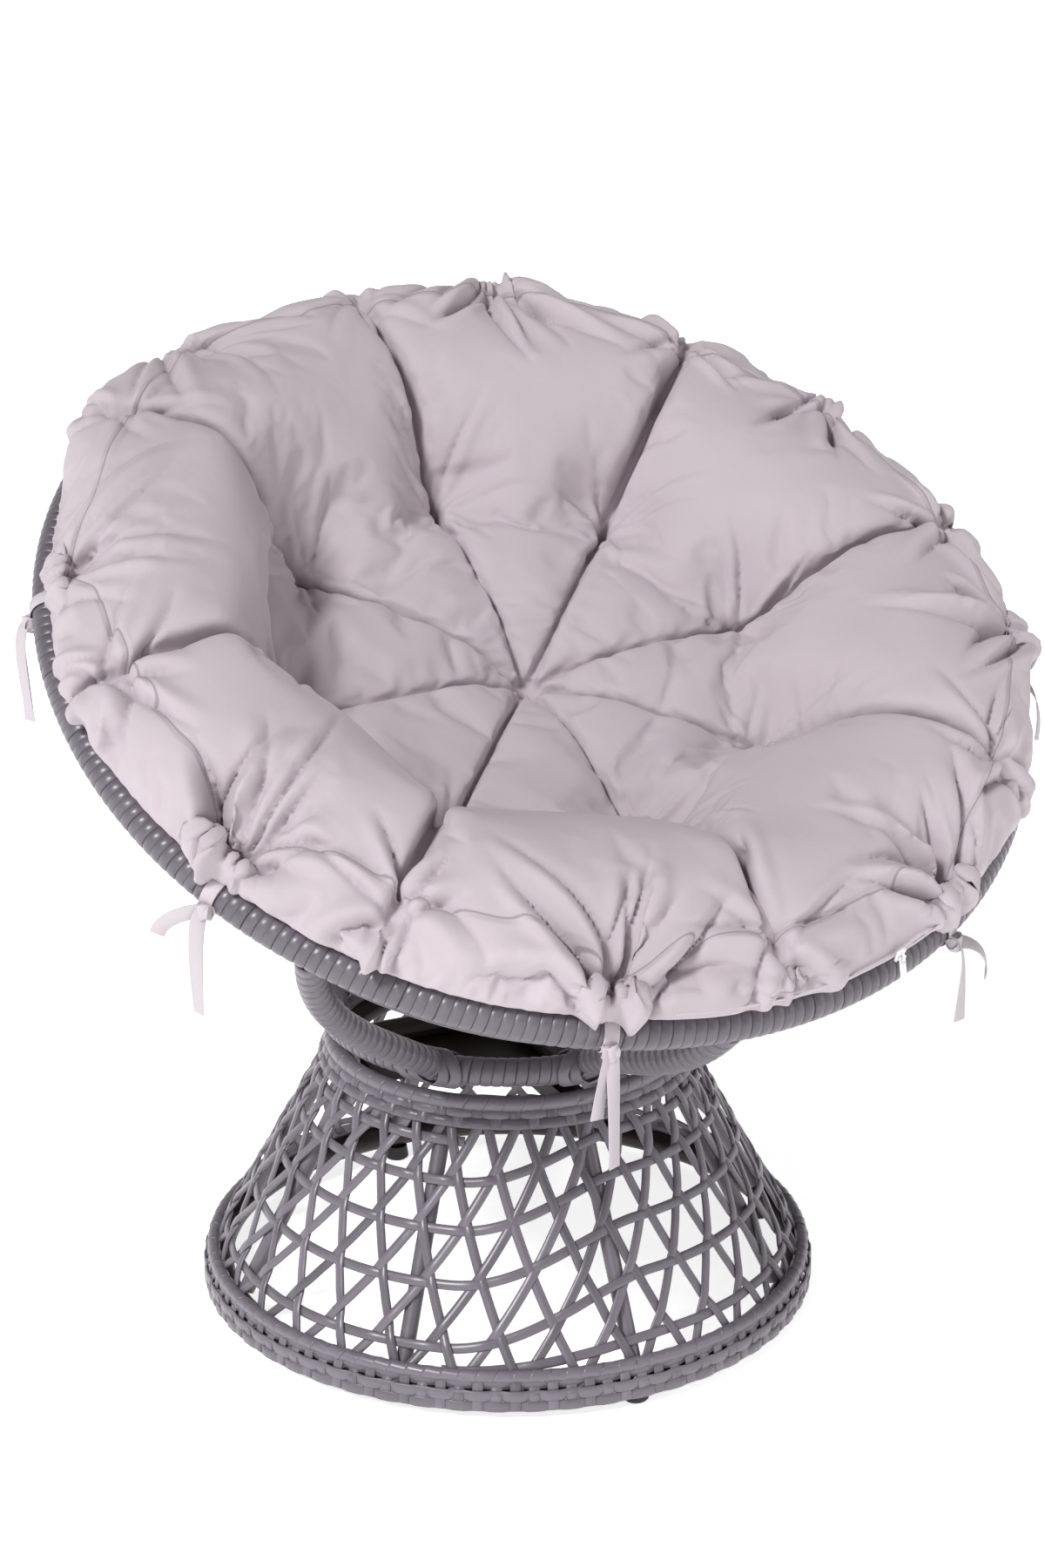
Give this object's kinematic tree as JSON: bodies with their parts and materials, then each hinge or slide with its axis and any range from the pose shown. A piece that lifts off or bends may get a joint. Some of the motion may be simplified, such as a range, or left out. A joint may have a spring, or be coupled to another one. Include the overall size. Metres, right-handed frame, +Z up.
{
  "type": "swivel papasan chair",
  "caption": "Round lounge chair: a woven conical base with a ball-bearing swivel, a tilted bowl frame of wrapped tube and a thick tufted cushion tied to its rim.",
  "frame": {"origin": "on the floor under the middle of the bounding box; the swivel axis stands 73.8 mm behind it", "axes": "+Z up, the chair faces -Y at rest, +X is on the right seen from the front"},
  "size_m": [0.956, 0.8686, 0.9647],
  "materials": {
    "wrapped_tube": "round resin cane wound closely over steel tube",
    "woven_cane": "satin resin cane, woven",
    "dark_steel": "dark powder coat",
    "bright_steel": "bright zinc plate",
    "cage_steel": "plain sheet steel",
    "glide": "black moulded plastic",
    "cushion_fabric": "plain woven outdoor cloth, matt",
    "tie_tape": "woven tape",
    "zip_metal": "white painted zip slider"
  },
  "bodies": {
    "base": {"base_bottom_ring": "dark_steel", "base_bottom_border": "woven_cane", "base_top_ring": "dark_steel", "base_top_border": "woven_cane", "base_leg_1": "wrapped_tube", "base_leg_2": "wrapped_tube", "base_leg_3": "wrapped_tube", "base_leg_4": "wrapped_tube", "base_leg_5": "wrapped_tube", "base_leg_6": "wrapped_tube", "base_leg_7": "wrapped_tube", "base_leg_8": "wrapped_tube", "foot_1": "glide", "foot_2": "glide", "foot_3": "glide", "foot_4": "glide", "base_weave": "woven_cane", "base_weft": "woven_cane", "base_cross_bars": "dark_steel", "swivel_lower_plate": "dark_steel", "swivel_rivet": "bright_steel"},
    "cage": {"ball_cage": "cage_steel", "ball_1": "bright_steel", "ball_2": "bright_steel", "ball_3": "bright_steel", "ball_4": "bright_steel", "ball_5": "bright_steel", "ball_6": "bright_steel"},
    "seat": {"swivel_upper_plate": "dark_steel", "seat_bolt_1": "bright_steel", "seat_bolt_2": "bright_steel", "seat_bolt_3": "bright_steel", "seat_bolt_4": "bright_steel", "seat_cross_tubes": "wrapped_tube", "seat_ring": "wrapped_tube", "seat_rib_1": "wrapped_tube", "seat_rib_2": "wrapped_tube", "seat_rib_3": "wrapped_tube", "seat_rib_4": "wrapped_tube", "seat_rib_5": "wrapped_tube", "seat_rib_6": "wrapped_tube", "rim": "wrapped_tube", "bowl_weave": "woven_cane", "bowl_hoop": "woven_cane", "bowl_centre_ring": "woven_cane", "cushion": "cushion_fabric", "tie_1": "tie_tape", "tie_2": "tie_tape", "tie_3": "tie_tape", "tie_4": "tie_tape", "tie_5": "tie_tape", "tie_6": "tie_tape", "tie_7": "tie_tape", "tie_8": "tie_tape"},
    "zip_slider": {"zip_slider": "zip_metal"},
    "zip_puller": {"zip_puller": "zip_metal"}
  },
  "joints": [
    {"name": "seat_swivel", "type": "hinge", "parent": "base", "child": "seat", "pos_m": [0, 0.07376, 0.27], "axis": [0, 0, 1], "continuous": true},
    {"name": "cage_spin", "type": "hinge", "parent": "base", "child": "cage", "pos_m": [0, 0.07376, 0.27], "axis": [0, 0, 1], "continuous": true},
    {"name": "zip_slide", "type": "hinge", "parent": "seat", "child": "zip_slider", "pos_m": [0, -0.00424, 0.695], "axis": [0, -0.5, 0.866], "range_deg": [-28, 5]},
    {"name": "puller_swing", "type": "hinge", "parent": "zip_slider", "child": "zip_puller", "pos_m": [0.15604, -0.41622, 0.50218], "axis": [0.9455, 0.282, 0.1628], "range_deg": [-100, 25]}
  ],
  "couplings": [
    {"joint": "cage_spin", "follows": "seat_swivel", "ratio": 0.5}
  ]
}
